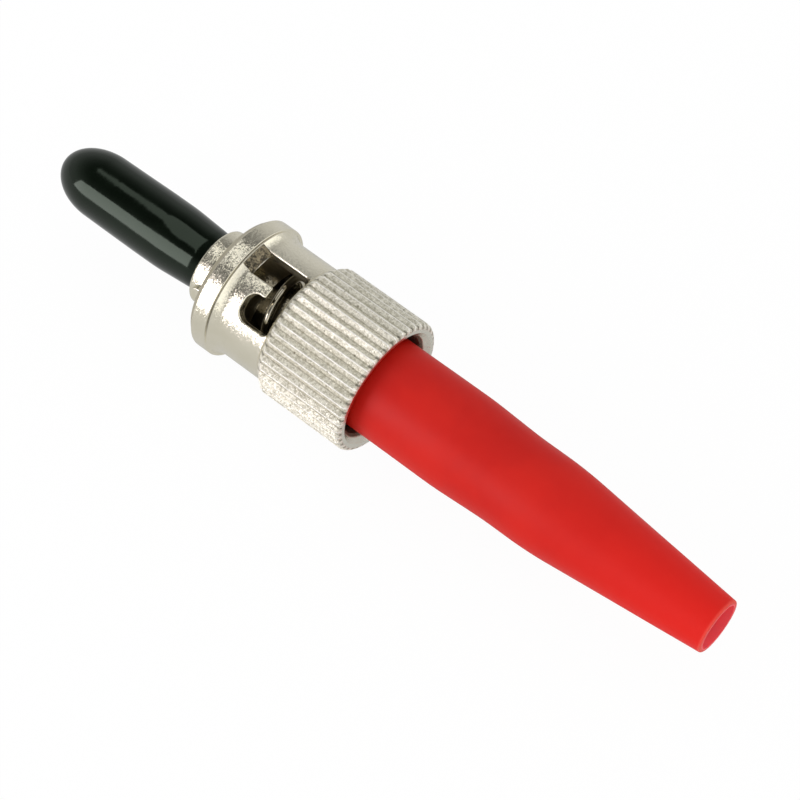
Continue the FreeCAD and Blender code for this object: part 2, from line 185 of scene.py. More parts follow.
# Painted shade in the notches at the ends of the grooves
NOTCH_SHADE = (0.07, 0.06, 0.035)
PIT_BROWN = (0.24, 0.21, 0.14)
MOUTH_GREY = (0.74, 0.72, 0.62)
# Painted shade inside the nut's bore and skirt
INSIDE_SHADE = (0.16, 0.13, 0.085)
# Painted shade on the lugs' ramps, mottled from pale to dark by the rough cut
RAMP_SHADE_PALE = (0.30, 0.25, 0.16)
RAMP_SHADE_DARK = (0.03, 0.024, 0.015)
# Painted highlight on the edge at the foot of the ramp
RAMP_EDGE_HIGHLIGHT = (0.95, 0.92, 0.82)

# Colours of the other pieces
HOLDER_DEEP = (0.83, 0.785, 0.62)
HOLDER_PALE = (0.88, 0.835, 0.68)
# Painted shade on the holder where it runs inside the nut
HOLDER_SHADE = (0.16, 0.13, 0.08)
BOOT_DEEP = (0.52, 0.006, 0.002)
BOOT_PALE = (0.57, 0.009, 0.003)
# Painted light: the boot's colour towards its tip, lighter as if lit
BOOT_TIP_LIGHT = (0.665, 0.008, 0.003)
# Painted highlight on the boot's end rim
BOOT_RIM_HIGHLIGHT = (0.86, 0.14, 0.10)
# Painted glow inside the cable hole at the tip
BOOT_HOLE_GLOW = (1.0, 0.11, 0.13)
BOOT_FLECK = (0.75, 0.12, 0.09)
CAP_DEEP = (0.0010, 0.0022, 0.0010)
CAP_PALE = (0.0016, 0.0034, 0.0016)
CAP_DUST = (0.05, 0.055, 0.045)
CAP_SHEEN = (0.80, 1.0, 0.79)
WIRE_DEEP = (0.45, 0.41, 0.31)
WIRE_PALE = (0.58, 0.54, 0.44)
CERAMIC_DEEP = (0.84, 0.83, 0.79)
CERAMIC_PALE = (0.90, 0.89, 0.86)
WASHER_DEEP = (0.50, 0.49, 0.46)
WASHER_PALE = (0.60, 0.59, 0.56)
CLIP_DEEP = (0.36, 0.36, 0.37)
CLIP_PALE = (0.46, 0.46, 0.47)
SLEEVE_DEEP = (0.66, 0.62, 0.54)
SLEEVE_PALE = (0.74, 0.71, 0.64)

# Camera at the photograph's viewing angle
CAMERA_AZIMUTH = 40.02
CAMERA_ELEVATION = 59.05
CAMERA_DISTANCE = 174.6 * MM
CAMERA_AIM = Vector((22.232, -0.085, -0.067)) * MM
CAMERA_LENS = 126.7
CAMERA_SENSOR = 36.0
CAMERA_NEAR = 0.005

# Light, in metres: a wide panel to the left and a four-cornered box overhead
PANEL_CENTRE = Vector((-0.266, -0.374, 0.155))
PANEL_FACING = Vector((-0.2266, 0.974, 0.0))
PANEL_WIDTH = 0.41
PANEL_HEIGHT = 0.30
PANEL_RADIANCE = 3.6
PANEL_COLOUR = (1.0, 0.94, 1.0)
BOX_CORNERS = [(-0.37, 0.13), (-0.27, 0.315), (-0.10, 0.36), (-0.10, -0.42)]
BOX_HEIGHT = 0.60
BOX_RADIANCE = 1.25

# Room and floor. The walls dim between two heights of the view, and the far wall brightens with X.
WHITE = (1.0, 1.0, 1.0)
FILL_LEVEL = 0.92
HORIZON_LEVEL = 0.53
CEILING_LEVEL = 0.07
WALL_FOOT = 0.2
WALL_TOP = 0.85
FAR_WALL_LEVEL = 0.8
FAR_WALL_FULL = 0.45
FLOOR_HALF = 3.0
FLOOR_GREY = (0.9, 0.9, 0.9)
FLOOR_MIRRORED = 0.62
FLOOR_WHITE_SHARE = 0.96


# Node helpers

def rgba(colour):
    return (*colour, 1.0)


def put(tree, kind, settings=None, inputs=None):
    """Add a node with its settings; an input that is a socket is linked, any other is set."""
    node = tree.nodes.new(kind)
    for name, value in (settings or {}).items():
        setattr(node, name, value)
    for name, value in (inputs or {}).items():
        if isinstance(value, bpy.types.NodeSocket):
            tree.links.new(value, node.inputs[name])
        else:
            node.inputs[name].default_value = value
    return node


def math_node(tree, operation, first, second=0.0):
    return put(tree, "ShaderNodeMath", {"operation": operation}, {0: first, 1: second}).outputs[0]


def both(tree, first, second):
    """The product of two masks, or of a mask and a share."""
    return math_node(tree, "MULTIPLY", first, second)


def either(tree, first, second):
    """The larger of two masks."""
    return math_node(tree, "MAXIMUM", first, second)


def gap(tree, value, centre):
    """Distance of a value from a centre."""
    return math_node(tree, "ABSOLUTE", math_node(tree, "SUBTRACT", value, centre))


def ramp(tree, value, low, high, start=0.0, end=1.0):
    """Carry a value from low..high over to start..end with soft ends."""
    settings = {"interpolation_type": "SMOOTHSTEP"}
    inputs = {"Value": value, "From Min": low, "From Max": high, "To Min": start, "To Max": end}
    return put(tree, "ShaderNodeMapRange", settings, inputs).outputs["Result"]


def shift(tree, mask, start, end):
    """Carry a mask of 0 to 1 over to start..end."""
    return ramp(tree, mask, 0.0, 1.0, start, end)


def near(tree, value, centre, reach):
    """1 at a value, falling to 0 at a distance from it."""
    return ramp(tree, gap(tree, value, centre), reach, 0.0)


def vector_node(tree, operation, first, second=None, result="Vector"):
    inputs = {0: first}
    if second is not None:
        inputs["Scale" if operation == "SCALE" else 1] = second
    return put(tree, "ShaderNodeVectorMath", {"operation": operation}, inputs).outputs[result]


def split_vector(tree, vector):
    return put(tree, "ShaderNodeSeparateXYZ", None, {"Vector": vector}).outputs


def own_spot(tree):
    """Place of a point in its object's own coordinates."""
    return put(tree, "ShaderNodeTexCoord").outputs["Object"]


def per_metre(tree, size):
    """How many features of a size in mm make a metre."""
    return math_node(tree, "DIVIDE", 1.0 / MM, size)


def clouds(tree, spot, scale, detail, roughness):
    inputs = {"Vector": spot, "Scale": scale, "Detail": detail, "Roughness": roughness}
    return put(tree, "ShaderNodeTexNoise", None, inputs).outputs["Fac"]


def cells(tree, scale):
    inputs = {"Vector": own_spot(tree), "Scale": scale}
    return put(tree, "ShaderNodeTexVoronoi", None, inputs).outputs


def blend_colour(tree, factor, first, second):
    """Mix two colours, each a plain colour or a socket."""
    inputs = {"Factor": factor}
    for name, colour in ((6, first), (7, second)):
        inputs[name] = colour if isinstance(colour, bpy.types.NodeSocket) else rgba(colour)
    return put(tree, "ShaderNodeMix", {"data_type": "RGBA"}, inputs).outputs[2]


def layer_colours(tree, colour, layers):
    """Lay colours over one another, each as (mask, share, colour)."""
    for mask, share, top in layers:
        colour = blend_colour(tree, both(tree, mask, share), colour, top)
    return colour


def new_group(name, inputs, outputs, kind="NodeSocketFloat"):
    """An empty node group with float inputs; gives back the group and its inner ends."""
    group = bpy.data.node_groups.new(name, "ShaderNodeTree")
    for label, value in inputs.items():
        socket = group.interface.new_socket(label, in_out="INPUT", socket_type="NodeSocketFloat")
        socket.default_value = value
    for label in outputs:
        group.interface.new_socket(label, in_out="OUTPUT", socket_type=kind)
    source = group.nodes.new("NodeGroupInput").outputs
    sink = group.nodes.new("NodeGroupOutput").inputs
    return group, source, sink


def place(tree, group, **values):
    """Place a group in a material with its own values."""
    return put(tree, "ShaderNodeGroup", {"node_tree": group}, values).outputs


# Effects that several finishes share

def make_cast_grain():
    """Fine lumpy skin of plate over a casting. Height is the skin, Dull marks its dull grains."""
    group, source, sink = new_group("cast grain", {"Grain": 0.12}, ["Height", "Dull"])
    spot = own_spot(group)
    scale = per_metre(group, source["Grain"])
    fine = clouds(group, spot, scale, 2.0, 0.6)
    wide = clouds(group, spot, both(group, scale, 0.31), 1.0, 0.5)
    height = math_node(group, "ADD", fine, both(group, wide, 0.8))
    group.links.new(height, sink["Height"])
    group.links.new(ramp(group, fine, 0.56, 0.72), sink["Dull"])
    return group


def make_plate_facets():
    """Tiny crystal faces of nickel plate, each tipped its own way. Lean is how far they tip."""
    group, source, sink = new_group(
        "plate facets", {"Grain": 0.12, "Lean": 0.3}, ["Tip"], "NodeSocketVector")
    faces = cells(group, per_metre(group, source["Grain"]))
    centred = vector_node(group, "SUBTRACT", faces["Color"], (0.5, 0.5, 0.5))
    group.links.new(vector_node(group, "SCALE", centred, source["Lean"]), sink["Tip"])
    return group


def make_length_streaks():
    """Fine marks that run along the plug."""
    group, source, sink = new_group("length streaks", {"Width": 0.08, "Stretch": 14.0}, ["Height"])
    shrink = math_node(group, "DIVIDE", 1.0, source["Stretch"])
    squeeze = put(group, "ShaderNodeCombineXYZ", None, {"X": shrink, "Y": 1.0, "Z": 1.0}).outputs[0]
    drawn = vector_node(group, "MULTIPLY", own_spot(group), squeeze)
    lines = clouds(group, drawn, per_metre(group, source["Width"]), 2.0, 0.55)
    group.links.new(lines, sink["Height"])
    return group


def make_specks():
    """Sparse small specks: dust, pits or pale flecks. Share is how many cells hold one."""
    group, source, sink = new_group(
        "specks", {"Spacing": 0.5, "Size": 0.12, "Share": 0.3}, ["Mask"])
    spots = cells(group, per_metre(group, source["Spacing"]))
    pick = put(group, "ShaderNodeSeparateColor", None, {"Color": spots["Color"]}).outputs[0]
    chosen = math_node(group, "LESS_THAN", pick, source["Share"])
    close = math_node(group, "LESS_THAN", spots["Distance"], source["Size"])
    group.links.new(both(group, close, chosen), sink["Mask"])
    return group


def make_tone_drift():
    """Slow change of tone over a surface."""
    group, source, sink = new_group("tone drift", {"Length": 3.0}, ["Tone"])
    tone = clouds(group, own_spot(group), per_metre(group, source["Length"]), 3.0, 0.6)
    group.links.new(ramp(group, tone, 0.3, 0.7), sink["Tone"])
    return group


def make_plug_place():
    """Where a point is on the plug, in mm: Along the axis and Out from it."""
    group, _, sink = new_group("plug place", {}, ["Along", "Out"])
    parts = split_vector(group, own_spot(group))
    flat = put(group, "ShaderNodeCombineXYZ", None, {"Y": parts["Y"], "Z": parts["Z"]}).outputs[0]
    reach = vector_node(group, "LENGTH", flat, result="Value")
    group.links.new(math_node(group, "DIVIDE", parts["X"], MM), sink["Along"])
    group.links.new(math_node(group, "DIVIDE", reach, MM), sink["Out"])
    return group


CAST_GRAIN = make_cast_grain()
PLATE_FACETS = make_plate_facets()
LENGTH_STREAKS = make_length_streaks()
SPECKS = make_specks()
TONE_DRIFT = make_tone_drift()
PLUG_PLACE = make_plug_place()


# Finishes

def bare_material(name):
    """A material with only its output; gives back the material, its tree and the output's socket."""
    material = bpy.data.materials.new(name)
    material.use_nodes = True
    tree = material.node_tree
    tree.nodes.clear()
    sheet = tree.nodes.new("ShaderNodeOutputMaterial")
    return material, tree, sheet.inputs["Surface"]


def new_finish(name, **sockets):
    """A material with one Principled shader; socket names are given with _ for a space."""
    finish, tree, surface = bare_material(name)
    values = {label.replace("_", " "): value for label, value in sockets.items()}
    skin = put(tree, "ShaderNodeBsdfPrincipled", None, values)
    tree.links.new(skin.outputs["BSDF"], surface)
    return finish, tree, skin


def colour_skin(tree, skin, colour):
    tree.links.new(colour, skin.inputs["Base Color"])


def vary_roughness(tree, skin, tone, smooth, rough):
    """Roughness that drifts with a tone of 0 to 1."""
    tree.links.new(shift(tree, tone, smooth, rough), skin.inputs["Roughness"])


def raise_skin(tree, skin, height, depth, normal=None):
    """Bump of the given depth in mm for a height of 0 to 1, over a normal of its own if one is given."""
    inputs = {"Strength": 1.0, "Distance": depth * MM, "Height": height}
    if normal is not None:
        inputs["Normal"] = normal
    bump = put(tree, "ShaderNodeBump", None, inputs)
    tree.links.new(bump.outputs["Normal"], skin.inputs["Normal"])


def tipped_normal(tree, tip):
    """The surface's normal, tipped by a small vector."""
    normal = put(tree, "ShaderNodeNewGeometry").outputs["Normal"]
    return vector_node(tree, "NORMALIZE", vector_node(tree, "ADD", normal, tip))


def flank_tip(tree, share):
    """Tip that makes the flanks of ridges along the axis look steeper."""
    surface = put(tree, "ShaderNodeNewGeometry").outputs
    around = (0.0, 1.0, 1.0)
    arm = vector_node(tree, "MULTIPLY", surface["Position"], around)
    facing = vector_node(tree, "MULTIPLY", surface["Normal"], around)
    side = vector_node(tree, "SUBTRACT", facing, vector_node(tree, "PROJECT", facing, arm))
    return vector_node(tree, "SCALE", side, share)


def across_entry(tree):
    """Distance in mm from the middle plane of the lugs' ways in."""
    clock = math.radians(ENTRY_CLOCK)
    sideways = (0.0, -math.sin(clock) / MM, math.cos(clock) / MM)
    offset = vector_node(tree, "DOT_PRODUCT", own_spot(tree), sideways, "Value")
    return math_node(tree, "ABSOLUTE", offset)


def clock_angle(tree):
    """Angle about the axis, in radians."""
    parts = split_vector(tree, own_spot(tree))
    return math_node(tree, "ARCTAN2", parts["Z"], parts["Y"])


def from_ridge(tree, clock):
    """Place across the knurl: 0 on the crest of a ridge, 1 in the groove beside it."""
    turned = math_node(tree, "SUBTRACT", clock, math.radians(KNURL_CLOCK))
    pitches = both(tree, turned, KNURL_RIDGES / (2 * math.pi))
    share = math_node(tree, "FRACT", pitches)
    return both(tree, gap(tree, share, 0.5), 2.0)


def nut_zones(tree):
    """Masks for the parts of the nut, by place along the axis, out from it and round it."""
    where = place(tree, PLUG_PLACE)
    along, out = where["Along"], where["Out"]
    clock = clock_angle(tree)
    zone = {}

    flange_end = NUT_FRONT + FLANGE_BEVEL
    zone["front bevel"] = ramp(tree, along, flange_end + 0.02, flange_end - 0.04)
    # A painted shade line behind the flange, laid only on an arc about one clock angle
    flange_corner = both(tree, near(tree, along, FLANGE_REAR + 0.03, 0.06),
                         ramp(tree, out, FLANGE_RADIUS - 0.24, FLANGE_RADIUS - 0.19))
    from_shade_clock = gap(tree, clock, math.radians(SHADE_LINE_CLOCK))
    shaded_arc = ramp(tree, from_shade_clock, math.radians(SHADE_LINE_FADED), math.radians(SHADE_LINE_FULL))
    zone["flange line"] = both(tree, flange_corner, shaded_arc)

    knurl = ramp(tree, along, KNURL_FRONT, KNURL_FRONT + 0.2)
    ridges = both(tree, knurl, ramp(tree, out, BARREL_RADIUS + 0.12, BARREL_RADIUS + 0.20))
    aside = from_ridge(tree, clock)
    zone["knurl"] = knurl
    zone["ridges"] = ridges
    # Painted highlight on the ridge crests
    zone["crest"] = both(tree, ridges, ramp(tree, aside, 0.18, 0.06))
    # Painted shade, with some grime, in the grooves
    zone["groove"] = both(tree, ridges, ramp(tree, aside, 0.78, 0.96))
    # Painted shade in the notches where the grooves end
    bevel_end = KNURL_FRONT + KNURL_BEVEL
    at_ends = either(tree, ramp(tree, along, NUT_REAR - 0.35, NUT_REAR - 0.2),
                     ramp(tree, along, bevel_end - 0.05, bevel_end - 0.2))
    low_on_ridges = both(tree, ridges, ramp(tree, aside, 0.62, 0.86))
    zone["groove end"] = both(tree, low_on_ridges, at_ends)

    in_entry = ramp(tree, across_entry(tree), ENTRY_HALF_WIDTH + 0.02, ENTRY_HALF_WIDTH - 0.02)
    past_flange = ramp(tree, along, ENTRY_FRONT, ENTRY_FRONT + 0.05)
    before_knurl = ramp(tree, along, KNURL_FRONT, KNURL_FRONT - 0.05)
    zone["entry ramp"] = both(tree, both(tree, in_entry, past_flange), before_knurl)
    # Painted highlight on the edge at the foot of the ramp
    zone["ramp edge"] = both(tree, near(tree, along, RAMP_FOOT, 0.07),
                             near(tree, out, RAMP_FOOT_RADIUS, 0.09))

    # Walls inside the nut that take painted shade
    barrel_wall = both(tree, ramp(tree, out, BARREL_RADIUS - 0.45, BARREL_RADIUS - 0.95),
                       ramp(tree, along, KNURL_FRONT + 1.0, KNURL_FRONT + 0.8))
    mouth_front = NUT_REAR - MOUTH_LAND
    in_skirt = both(tree, ramp(tree, along, KNURL_FRONT + 0.8, KNURL_FRONT + 1.0),
                    ramp(tree, along, mouth_front + 0.02, mouth_front - 0.06))
    skirt_wall = both(tree, in_skirt, ramp(tree, out, SKIRT_RADIUS + 0.26, SKIRT_RADIUS + 0.22))
    zone["inside"] = either(tree, barrel_wall, skirt_wall)
    zone["mouth rim"] = both(tree, ramp(tree, along, mouth_front - 0.02, mouth_front + 0.05),
                             ramp(tree, out, KNURL_GROOVE - 0.1, KNURL_GROOVE - 0.18))
    return zone


def nut_colour(tree, zone, tone, grain, rough_cut, pits):
    """The clean plate, with its wear, pits and some grime laid over it, and painted shade and painted
    highlights on top.
    """
    worn = blend_colour(tree, ramp(tree, grain, 0.65, 1.15), WORN_DARK, WORN_PALE)
    # Painted shade on the lugs' ramps, mottled by the rough cut
    torn = blend_colour(tree, ramp(tree, rough_cut, 0.78, 1.0), RAMP_SHADE_PALE, RAMP_SHADE_DARK)
    return layer_colours(tree, blend_colour(tree, tone, NICKEL_DEEP, NICKEL_PALE), [
        (zone["front bevel"], 0.9, BEVEL_SHADE),
        (zone["flange line"], 1.0, FLANGE_SHADE_LINE),
        (zone["knurl"], 1.0, worn),
        (zone["crest"], 0.9, CREST_HIGHLIGHT),
        (zone["groove"], 0.5, GROOVE_SHADE_AND_GRIME),
        (zone["groove end"], 0.6, NOTCH_SHADE),
        (pits, 1.0, PIT_BROWN),
        (zone["mouth rim"], 1.0, MOUTH_GREY),
        (zone["inside"], 0.85, INSIDE_SHADE),
        (zone["entry ramp"], 0.95, torn),
        (zone["ramp edge"], 1.0, RAMP_EDGE_HIGHLIGHT),
    ])


def nut_roughness(tree, zone, tone):
    """Bright plate, matt on the knurl and in the hollows."""
    matt = both(tree, both(tree, zone["knurl"], 0.19), shift(tree, zone["mouth rim"], 1.0, 0.1))
    base = math_node(tree, "ADD", shift(tree, tone, 0.21, 0.26), matt)
    hollow = either(tree, zone["inside"], either(tree, zone["entry ramp"], zone["front bevel"]))
    return math_node(tree, "ADD", base, both(tree, hollow, 0.25))


def raise_nut_skin(tree, skin, zone, rough_cut, pits):
    """Plate facets everywhere, streaks and pits on the knurl, torn metal on the ways in."""
    smooth_edges = shift(tree, either(tree, zone["front bevel"], zone["mouth rim"]), 1.0, 0.15)
    lean = both(tree, shift(tree, zone["knurl"], 0.19, 0.60), smooth_edges)
    facets = place(tree, PLATE_FACETS, Grain=0.065, Lean=lean)
    streaks = place(tree, LENGTH_STREAKS, Width=0.06, Stretch=9.0)
    ribbed = both(tree, both(tree, streaks["Height"], zone["knurl"]), 0.3)
    sunk = both(tree, pits, -0.8)
    torn = both(tree, both(tree, rough_cut, zone["entry ramp"]), 2.0)
    height = math_node(tree, "ADD", math_node(tree, "ADD", ribbed, sunk), torn)
    steeper = flank_tip(tree, both(tree, zone["ridges"], 0.35))
    normal = tipped_normal(tree, vector_node(tree, "ADD", facets["Tip"], steeper))
    raise_skin(tree, skin, height, NUT_SKIN_DEPTH, normal)


def nut_nickel():
    """Nickel plate on a casting: bright grained barrel, matt worn knurl, painted shade in grooves, slots
    and hollows with some grime, painted highlights on crests and the ramp's edge.
    """
    finish, tree, skin = new_finish("nut_nickel")
    zone = nut_zones(tree)
    grain = place(tree, CAST_GRAIN, Grain=0.06)["Height"]
    rough_cut = place(tree, CAST_GRAIN, Grain=0.11)["Height"]
    specks = place(tree, SPECKS, Spacing=0.42, Size=0.17, Share=0.16)["Mask"]
    tone = place(tree, TONE_DRIFT, Length=2.5)["Tone"]
    pits = both(tree, specks, both(tree, zone["knurl"], 0.7))
    colour_skin(tree, skin, nut_colour(tree, zone, tone, grain, rough_cut, pits))
    scattered = either(tree, zone["front bevel"], both(tree, zone["ridges"], 0.8))
    tree.links.new(shift(tree, scattered, 1.0, 0.4), skin.inputs["Metallic"])
    tree.links.new(nut_roughness(tree, zone, tone), skin.inputs["Roughness"])
    raise_nut_skin(tree, skin, zone, rough_cut, pits)
    return finish


def holder_nickel():
    """Bright nickel plate on a turned piece, with painted shade where it runs inside the nut."""
    finish, tree, skin = new_finish("holder_nickel", Metallic=1.0)
    along = place(tree, PLUG_PLACE)["Along"]
    grain = place(tree, CAST_GRAIN, Grain=0.12)["Height"]
    tone = place(tree, TONE_DRIFT, Length=1.6)["Tone"]
    facets = place(tree, PLATE_FACETS, Grain=0.065, Lean=0.19)
    clean = blend_colour(tree, tone, HOLDER_DEEP, HOLDER_PALE)
    # Painted shade over the length inside the nut
    in_nut = ramp(tree, along, NUT_FRONT, NUT_FRONT + HOLDER_SHADE_LENGTH)
    colour_skin(tree, skin, layer_colours(tree, clean, [(in_nut, 0.8, HOLDER_SHADE)]))
    vary_roughness(tree, skin, tone, 0.20, 0.25)
    raise_skin(tree, skin, grain, 0.004, tipped_normal(tree, facets["Tip"]))
    return finish


def boot_red():
    """Satin red soft plastic with some light through it and a few pale flecks, painted lighter towards
    the tip, with a painted highlight on the end rim and a painted glow in the cable hole.
    """
    finish, tree, skin = new_finish(
        "boot_red", IOR=1.45, Specular_IOR_Level=0.24,
        Subsurface_Weight=0.25, Subsurface_Radius=(1.0, 0.12, 0.06), Subsurface_Scale=0.6 * MM)
    where = place(tree, PLUG_PLACE)
    grain = place(tree, CAST_GRAIN, Grain=0.25)["Height"]
    tone = place(tree, TONE_DRIFT, Length=4.0)["Tone"]
    flecks = place(tree, SPECKS, Spacing=2.2, Size=0.03, Share=0.25)["Mask"]
    # Painted light: lighter towards the tip
    lit_tip = ramp(tree, where["Along"], BOOT_TIP_LIGHT_FROM, BOOT_END)
    # Painted highlight on the end rim
    rim_highlight = ramp(tree, where["Along"], BOOT_END - 0.24, BOOT_END - 0.02)
    # Painted glow inside the cable hole
    in_hole = ramp(tree, where["Out"], CABLE_HOLE_RADIUS + 0.17, CABLE_HOLE_RADIUS + 0.03)
    colour_skin(tree, skin, layer_colours(tree, blend_colour(tree, tone, BOOT_DEEP, BOOT_PALE), [
        (lit_tip, 1.0, BOOT_TIP_LIGHT),
        (rim_highlight, 0.45, BOOT_RIM_HIGHLIGHT),
        (both(tree, in_hole, lit_tip), 1.0, BOOT_HOLE_GLOW),
        (flecks, 0.5, BOOT_FLECK),
    ]))
    vary_roughness(tree, skin, tone, 0.46, 0.54)
    raise_skin(tree, skin, grain, 0.006)
    return finish


def cap_vinyl():
    """Glossy black dipped vinyl, faintly green."""
    finish, tree, skin = new_finish(
        "cap_vinyl", IOR=1.5, Specular_IOR_Level=0.42, Specular_Tint=rgba(CAP_SHEEN))
    tone = place(tree, TONE_DRIFT, Length=1.8)["Tone"]
    dust = place(tree, SPECKS, Spacing=0.9, Size=0.03, Share=0.12)["Mask"]
    black = blend_colour(tree, tone, CAP_DEEP, CAP_PALE)
    colour_skin(tree, skin, layer_colours(tree, black, [(dust, 0.6, CAP_DUST)]))
    vary_roughness(tree, skin, tone, 0.09, 0.13)
    raise_skin(tree, skin, tone, 0.004)
    return finish


def spring_wire():
    """Bright drawn spring wire."""
    finish, tree, skin = new_finish("spring_wire", Metallic=1.0)
    grain = place(tree, CAST_GRAIN, Grain=0.10)["Height"]
    tone = place(tree, TONE_DRIFT, Length=1.2)["Tone"]
    colour_skin(tree, skin, blend_colour(tree, tone, WIRE_DEEP, WIRE_PALE))
    vary_roughness(tree, skin, tone, 0.08, 0.13)
    raise_skin(tree, skin, grain, 0.003)
    return finish


def plain_metal(name, deep, pale, roughness, grain_size):
    """Finish of the hidden steel and brass pieces."""
    finish, tree, skin = new_finish(name, Metallic=1.0)
    grain = place(tree, CAST_GRAIN, Grain=grain_size)
    streaks = place(tree, LENGTH_STREAKS, Width=0.05, Stretch=8.0)["Height"]
    tone = place(tree, TONE_DRIFT, Length=1.5)["Tone"]
    dull = tuple(0.5 * part for part in deep)
    clean = blend_colour(tree, tone, deep, pale)
    colour_skin(tree, skin, layer_colours(tree, clean, [(grain["Dull"], 0.35, dull)]))
    vary_roughness(tree, skin, tone, roughness, roughness + 0.08)
    raise_skin(tree, skin, math_node(tree, "ADD", grain["Height"], streaks), 0.003)
    return finish


def ferrule_zirconia():
    """Polished white ceramic."""
    finish, tree, skin = new_finish("ferrule_zirconia", IOR=2.0)
    tone = place(tree, TONE_DRIFT, Length=1.5)["Tone"]
    grain = place(tree, CAST_GRAIN, Grain=0.08)["Height"]
    colour_skin(tree, skin, blend_colour(tree, tone, CERAMIC_DEEP, CERAMIC_PALE))
    vary_roughness(tree, skin, tone, 0.10, 0.15)
    raise_skin(tree, skin, grain, 0.0004)
    return finish


# Turned pieces

def soften(corners):
    """Points along an outline of (x, radius, round) corners, each rounded by an arc."""
    points = []
    for index, (x, radius, bend) in enumerate(corners):
        corner = Vector((x, radius))
        if bend == 0.0 or index in (0, len(corners) - 1):
            points.append(corner)
            continue
        before = (Vector(corners[index - 1][:2]) - corner).normalized()
        after = (Vector(corners[index + 1][:2]) - corner).normalized()
        half = before.angle(after) / 2
        inward = (before + after).normalized()
        centre = corner + inward * (bend / math.sin(half))
        first = corner + before * (bend / math.tan(half)) - centre
        last = corner + after * (bend / math.tan(half)) - centre
        for step in range(ARC_STEPS + 1):
            arm = first.lerp(last, step / ARC_STEPS).normalized() * bend
            points.append(centre + arm)
    return points


def fill_runs(points, longest):
    """Divide the long runs of an outline, so that its surface can be uneven."""
    filled = [points[0]]
    for start, end in zip(points, points[1:]):
        parts = max(1, math.ceil((end - start).length / longest))
        for part in range(1, parts + 1):
            filled.append(start.lerp(end, part / parts))
    return filled


def quarter_turn(steps):
    """Angles from 0 to a quarter turn, both ends counted."""
    return [math.pi / 2 * step / steps for step in range(steps + 1)]


def new_piece(name, corners, faces):
    """A piece with outward normals and smooth shading, crisp at its corners."""
    mesh = bpy.data.meshes.new(name)
    mesh.from_pydata(corners, [], faces)
    mesh.validate()
    shape = bmesh.new()
    shape.from_mesh(mesh)
    bmesh.ops.recalc_face_normals(shape, faces=shape.faces)
    shape.to_mesh(mesh)
    shape.free()
    mesh.shade_smooth()
    mesh.set_sharp_from_angle(angle=math.radians(CRISP_ANGLE))
    piece = bpy.data.objects.new(name, mesh)
    bpy.context.scene.collection.objects.link(piece)
    return piece


def lathe(name, outline, sides, move):
    """Turn a closed outline in mm about the axis. move gives each point's last place."""
    corners, faces, rings = [], [], []
    for x, radius in outline:
        if radius < TINY:
            rings.append([len(corners)])
            corners.append(move(Vector((x, 0.0, 0.0))) * MM)
            continue
        ring = []
        for side in range(sides):
            angle = 2 * math.pi * side / sides
            spot = Vector((x, radius * math.cos(angle), radius * math.sin(angle)))
            ring.append(len(corners))
            corners.append(move(spot) * MM)
        rings.append(ring)
    pairs = list(zip(rings, rings[1:]))
    if len(rings[0]) > 1:
        pairs.append((rings[-1], rings[0]))
    for one, two in pairs:
        for side in range(sides):
            after = (side + 1) % sides
            if len(one) == 1:
                faces.append((one[0], two[after], two[side]))
            elif len(two) == 1:
                faces.append((one[side], one[after], two[0]))
            else:
                faces.append((one[side], one[after], two[after], two[side]))
    return new_piece(name, corners, faces)


def uneven(depth, length):
    """A slight unevenness of a soft surface, out from the axis."""
    def move(spot):
        out = Vector((0.0, spot.y, spot.z)).normalized()
        return spot + out * (depth * noise.noise(spot / length))
    return move


def leaning(move):
    """The outside of the cap sits a little crooked, with its bore still straight on the ferrule."""
    clock = math.radians(CAP_LEAN_CLOCK)
    aside = Vector((0.0, math.cos(clock), math.sin(clock)))

    def lean(spot):
        close = math.hypot(spot.y, spot.z) < CAP_BORE_RADIUS + CAP_BORE_MARGIN
        in_bore = close and spot.x > CAP_BORE_END - TINY
        share = 0.0 if in_bore else (CAP_MOUTH - spot.x) / (CAP_MOUTH - CAP_TIP)
        return move(spot) + aside * (CAP_LEAN * share)
    return lean


def make_boot():
    inside = [Vector(corner) for corner in BOOT_INSIDE]
    outline = fill_runs(soften(BOOT_OUTSIDE) + inside, BOOT_STEP)
    boot = lathe("boot_skin", outline, BOOT_SIDES, uneven(BOOT_UNEVEN, BOOT_UNEVEN_LENGTH))
    boot.data.materials.append(boot_red())
    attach(boot, "plug_body")
    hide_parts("boot")


def make_cap():
    dome_length = CAP_DOME_REAR - CAP_TIP
    dome = []
    for turn in quarter_turn(CAP_DOME_STEPS)[:-1]:
        x = CAP_DOME_REAR - dome_length * math.cos(turn)
        dome.append(Vector((x, CAP_DOME_RADIUS * math.sin(turn))))
    side = soften([
        (CAP_DOME_REAR, CAP_DOME_RADIUS, 0.0),
        (CAP_WIDEST, CAP_RADIUS, 60.0),
        (CAP_TAPER_FRONT, CAP_RADIUS, 15.0),
        (CAP_LIP_FRONT, CAP_LIP_RADIUS, 2.5),
        (CAP_MOUTH, CAP_MOUTH_RADIUS, 0.12),
        (CAP_MOUTH, CAP_BORE_RADIUS, 0.05),
        (CAP_BORE_END + CAP_BORE_RADIUS, CAP_BORE_RADIUS, 0.0),
    ])
    bore = []
    for turn in quarter_turn(CAP_BORE_STEPS)[1:]:
        x = CAP_BORE_END + CAP_BORE_RADIUS * (1 - math.sin(turn))
        bore.append(Vector((x, CAP_BORE_RADIUS * math.cos(turn))))
    bore[-1].y = 0.0
    outline = dome + fill_runs(side, CAP_STEP) + bore
    cap = lathe("cap_skin", outline, CAP_SIDES, leaning(uneven(CAP_UNEVEN, CAP_UNEVEN_LENGTH)))
    cap.data.materials.append(cap_vinyl())
    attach(cap, "cap")
    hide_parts("dust_cap")


